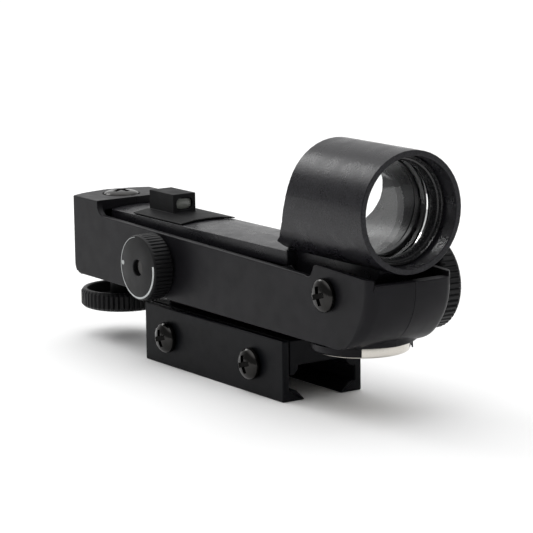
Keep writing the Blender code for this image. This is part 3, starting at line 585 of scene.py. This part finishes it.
def make_index():
    """The painted index on the dial's face: a dot, and a thin arc that widens as the light gets brighter."""
    outer = DIAL_RADIUS - 0.46
    steps = 84
    high, low = DIAL_FACE - 0.025, DIAL_FACE + 0.05
    outlines = []
    for step in range(steps + 1):
        share = step / steps
        angle = math.radians(97.0 + share * 273.0)
        thick = 0.11 + 0.55 * share**1.8
        rim = [(outer, low), (outer, high), (outer - thick, high), (outer - thick, low)]
        across = [(DIAL[0] + r * math.cos(angle), y, DIAL[1] + r * math.sin(angle)) for r, y in rim]
        outlines.append([Vector(point) for point in across])
    belong(store("index_arc", loft(outlines), "index_white"), "brightness_dial", "knob_black")
    angle = math.radians(176.0)
    centre = (DIAL[0] + 6.1 * math.cos(angle), DIAL[1] + 6.1 * math.sin(angle))
    dot = lathe([(0.0, low), (0.52, low), (0.52, high + 0.01), (0.44, high), (0.0, high)], "Y", centre, 32)
    belong(store("index_dot", dot, "index_white"), "brightness_dial", "knob_black")


# ---- battery, lens and lamp -----------------------------------------------------------------


def make_cell():
    """The coin cell: a can with a rounded edge, and a smaller cap on top."""
    (low, high), radius = CELL_HEIGHTS, CELL_RADIUS
    profile = [(0.0, low), (radius - 1.5, low), (radius - 1.38, low + 0.06), (radius - 1.1, low + 0.06)]
    profile += [(radius - 0.98, low)]
    for step in range(5):
        angle = math.radians(90.0 * step / 4.0)
        profile.append((radius - 0.5 + 0.5 * math.sin(angle), low + 0.5 - 0.5 * math.cos(angle)))
    profile += [(radius, high - 0.55), (radius - 0.12, high - 0.32), (radius - 0.5, high - 0.2)]
    profile += [(radius - 1.1, high - 0.2), (radius - 1.16, high - 0.45), (radius - 1.3, high - 0.45)]
    profile += [(radius - 1.4, high - 0.1), (radius - 1.6, high), (0.0, high)]
    bm = lathe(profile, "Z", CELL, ROUND)
    belong(store("coin_cell_can", bm, "cell_steel"), "coin_cell", "cell_steel", "coin_cell")


def make_lens():
    """The objective, with both faces curved the same way and a slight tilt, and the ring in front of it."""
    curve, radius = LENS_CURVE, LENS_RADIUS
    steps = 12
    rear = []
    front = []
    for step in range(steps + 1):
        reach = (radius - 0.12) * step / steps
        sag = curve - math.sqrt(curve**2 - reach**2)
        rear.append((reach, LENS_REAR - sag))
        front.append((reach, LENS_FRONT - sag))
    sag = curve - math.sqrt(curve**2 - radius**2)
    rim = [(radius, LENS_REAR + 0.12 - sag), (radius, LENS_FRONT - 0.12 - sag)]
    bm = lathe(rear + rim + front[::-1], "X", TUBE, ROUND)
    turn = Matrix.Rotation(math.radians(-LENS_TILT), 3, "Y")
    bmesh.ops.rotate(bm, verts=bm.verts, cent=Vector((LENS_MIDDLE, 0.0, TUBE[1])), matrix=turn)
    belong(store("objective_lens_ground", bm, "lens_glass"), "sight_arm", "lens_glass", "objective_lens")
    rear_end, front_end = RETAINER_X
    profile = [
        (11.2, rear_end),
        (11.2, front_end - 0.1),
        (11.1, front_end),
        (10.75, front_end),
        (10.68, front_end - 0.1),
        (10.68, front_end - 0.8),
        (10.6, front_end - 0.95),
        (10.25, front_end - 1.05),
        (10.15, front_end - 1.2),
        (9.95, rear_end + 0.7),
        (9.9, rear_end + 0.5),
        (9.9, rear_end),
    ]
    bm = lathe(profile, "X", TUBE, ROUND, closed=True)
    belong(store("lens_retainer_turned", bm, "ring_black"), "sight_arm", "arm_black", "lens_retainer")


def slot_outline(width, height, x, corner):
    """A rectangle with round corners across X, round the lamp window's centre."""
    outline = []
    for index, (sy, sz) in enumerate(((1, 1), (-1, 1), (-1, -1), (1, -1))):
        for step in range(6):
            angle = math.radians(index * 90.0 + step * 18.0)
            y = sy * (width / 2.0 - corner) + corner * math.cos(angle)
            z = WINDOW_Z + sz * (height / 2.0 - corner) + corner * math.sin(angle)
            outline.append(Vector((x, y, z)))
    return outline


def make_window():
    """The lamp's window: a rounded rectangle with a slightly domed front."""
    x = POST_FRONT
    outlines = [slot_outline(4.0, 2.4, x - 0.95, 1.1), slot_outline(4.0, 2.4, x - 0.5, 1.1)]
    outlines += [slot_outline(3.5, 1.9, x - 0.38, 0.90), slot_outline(2.4, 1.1, x - 0.30, 0.52)]
    belong(store("led_window_domed", loft(outlines), "window_glass"), "sight_arm", "lens_glass", "led_window")


# ---- stage ----------------------------------------------------------------------------------


def light_from(tree):
    """The studio's light by direction: bright overhead and beyond the finder, dim behind the camera."""
    direction = tree.nodes.new("ShaderNodeTexCoord").outputs["Generated"]
    total = None
    for toward, start, end, strength in (
        ((0.0, 0.0, 1.0), -1.0, -0.9, 0.28),
        ((-0.82, 0.57, 0.0), 0.1, 0.9, 0.65),
        ((0.0, 0.0, 1.0), 0.5, 0.95, 1.6),
    ):
        along = tree.nodes.new("ShaderNodeVectorMath")
        along.operation = "DOT_PRODUCT"
        along.inputs[1].default_value = toward
        tree.links.new(direction, along.inputs[0])
        spread = tree.nodes.new("ShaderNodeMapRange")
        spread.interpolation_type = "SMOOTHSTEP"
        spread.inputs["From Min"].default_value = start
        spread.inputs["From Max"].default_value = end
        spread.inputs["To Max"].default_value = strength
        tree.links.new(along.outputs["Value"], spread.inputs["Value"])
        result = spread.outputs["Result"]
        if total is not None:
            joined = tree.nodes.new("ShaderNodeMath")
            tree.links.new(total, joined.inputs[0])
            tree.links.new(result, joined.inputs[1])
            result = joined.outputs["Value"]
        total = result
    tree.nodes["Background"].inputs["Color"].default_value = (1.0, 1.0, 1.0, 1.0)
    tree.links.new(total, tree.nodes["Background"].inputs["Strength"])


def make_stage():
    bm = bmesh.new()
    size = 6000.0
    corners = ((-size, -size), (size, -size), (size, size), (-size, size))
    bm.faces.new([bm.verts.new((x, y, FOOT_Z - 0.02)) for x, y in corners])
    MATERIALS["floor"] = matte("floor", (0.93, 0.93, 0.93))
    floor = store("floor", bm, "floor")
    world = bpy.data.worlds.new("studio")
    world.use_nodes = True
    light_from(world.node_tree)
    bpy.context.scene.world = world
    bpy.context.scene.view_settings.view_transform = "Standard"


def soft_light(name, where, aim, size, power):
    """A rectangular light in watts that faces a point."""
    light = bpy.data.lights.new(name, "AREA")
    light.shape = "RECTANGLE"
    light.size = size[0] * MM
    light.size_y = size[1] * MM
    light.energy = power
    obj = bpy.data.objects.new(name, light)
    bpy.context.scene.collection.objects.link(obj)
    obj.location = Vector(where) * MM
    obj.rotation_mode = "QUATERNION"
    obj.rotation_quaternion = (Vector(aim) - Vector(where)).to_track_quat("-Z", "Y")


def make_camera():
    """The photograph's viewing angle, from the right of the tube's end and a little above."""
    azimuth, elevation, roll = math.radians(55.65), math.radians(10.53), math.radians(-0.735)
    back = Vector((
        math.sin(azimuth) * math.cos(elevation),
        -math.cos(azimuth) * math.cos(elevation),
        math.sin(elevation),
    ))
    aim = Vector((6.74, 0.0, 17.38))
    data = bpy.data.cameras.new("camera")
    data.sensor_width = 36.0
    data.lens = 171.55
    data.clip_start = 0.01
    data.clip_end = 20.0
    camera = bpy.data.objects.new("camera", data)
    bpy.context.scene.collection.objects.link(camera)
    camera.location = (aim + back * 550.2) * MM
    camera.rotation_mode = "QUATERNION"
    camera.rotation_quaternion = (-back).to_track_quat("-Z", "Y") @ Quaternion((0.0, 0.0, 1.0), roll)
    bpy.context.scene.camera = camera


# ---- build ----------------------------------------------------------------------------------

make_camera()
make_stage()
soft_light("rear key", (-420.0, -90.0, 330.0), (20.0, 0.0, 20.0), (200.0, 160.0), 0.5)
finish_nodes()
for side in ("right", "left"):
    shell, arm = "housing_" + side, "arm_" + side
    dressed(shell, shell + "_moulded", "housing", "shell_black", "shell_black", 0.3, 0.01, 0.11)
    dressed(arm, arm + "_moulded", "sight_arm", "arm_black", "arm_black", 0.2, 0.03)
dressed("rail_base", "rail_base_milled", "housing", "clamp_black", "clamp_black", 0.3)
dressed("clamp_jaw", "clamp_jaw_milled", "clamp_jaw", "clamp_black", "clamp_black", 0.3)
dressed("led_housing", "led_housing_moulded", "sight_arm", "knob_black", "pad_black", 0.15)
make_screws()
make_knobs()
make_dial()
make_cell()
make_lens()
make_window()
